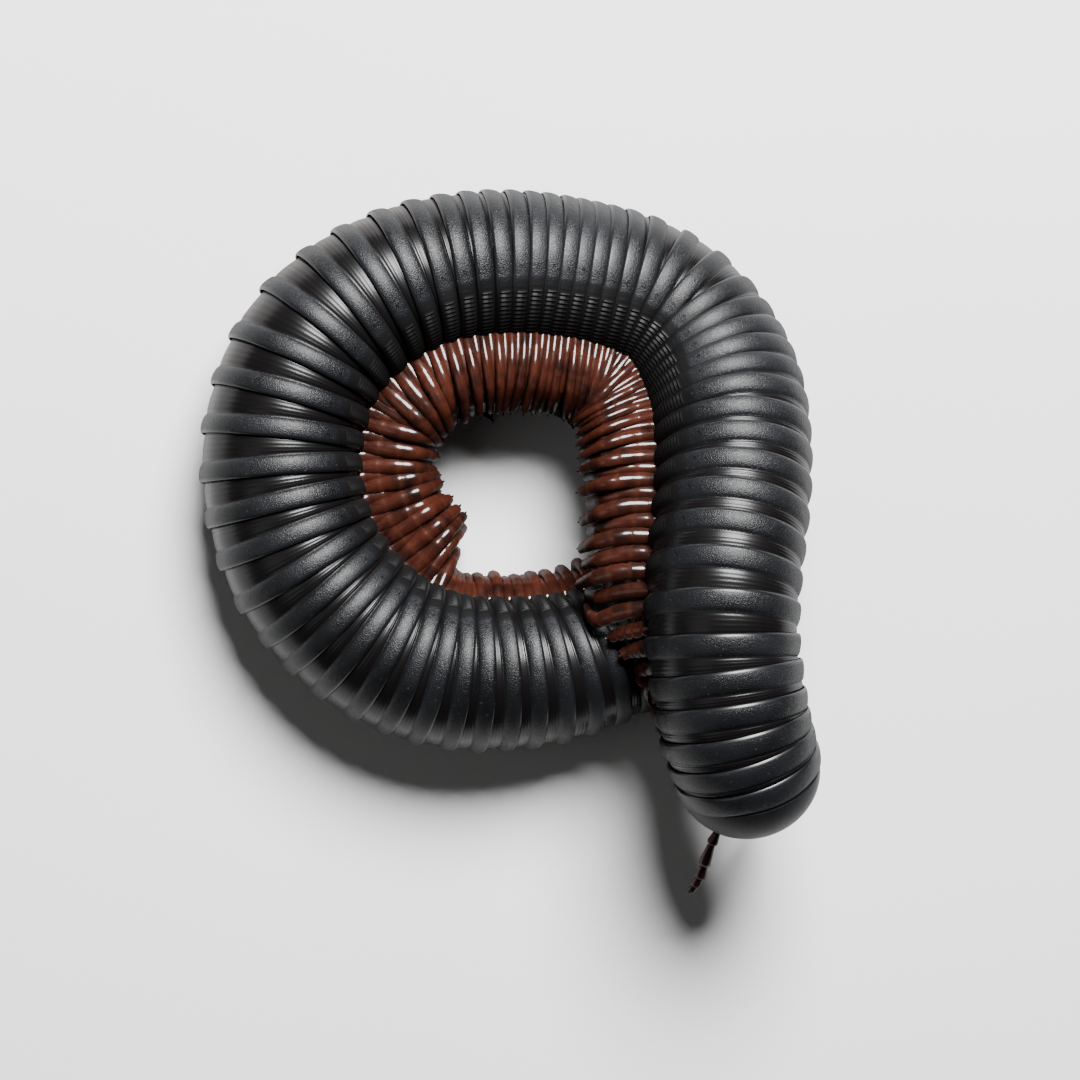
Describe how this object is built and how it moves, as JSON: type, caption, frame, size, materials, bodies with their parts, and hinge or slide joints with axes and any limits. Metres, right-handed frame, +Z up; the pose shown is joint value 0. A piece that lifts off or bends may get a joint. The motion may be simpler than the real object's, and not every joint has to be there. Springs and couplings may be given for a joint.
{
  "type": "giant African millipede",
  "caption": "Giant African millipede lying in a loop with its front end raised over its tail, a still life-size museum model of an adult",
  "frame": {"origin": "middle of the model's box, at the floor that it rests on", "axes": "+Z up, -Y towards the head, +X towards the arm of the loop that carries the head"},
  "size_m": [0.0757, 0.089, 0.0359],
  "materials": {
    "ring_black": "satin black chitin with fine grain",
    "shield_black": "satin black chitin",
    "face_brown": "satin dark brown chitin",
    "eye_black": "glossy beaded black",
    "limb_red_brown": "glossy, slightly translucent red brown",
    "telson_black": "satin black chitin"
  },
  "bodies": {
    "root": {"head": "face_brown", "eye_right": "eye_black", "eye_left": "eye_black", "antenna_right": "limb_red_brown", "antenna_left": "limb_red_brown", "collum": "shield_black", "second_ring": "shield_black", "trunk_1": "ring_black", "trunk_2": "ring_black", "trunk_3": "ring_black", "trunk_4": "ring_black", "trunk_5": "ring_black", "trunk_6": "ring_black", "trunk_7": "ring_black", "trunk_8": "ring_black", "trunk_9": "ring_black", "trunk_10": "ring_black", "trunk_11": "ring_black", "trunk_12": "ring_black", "telson": "telson_black"}
  },
  "joints": []
}
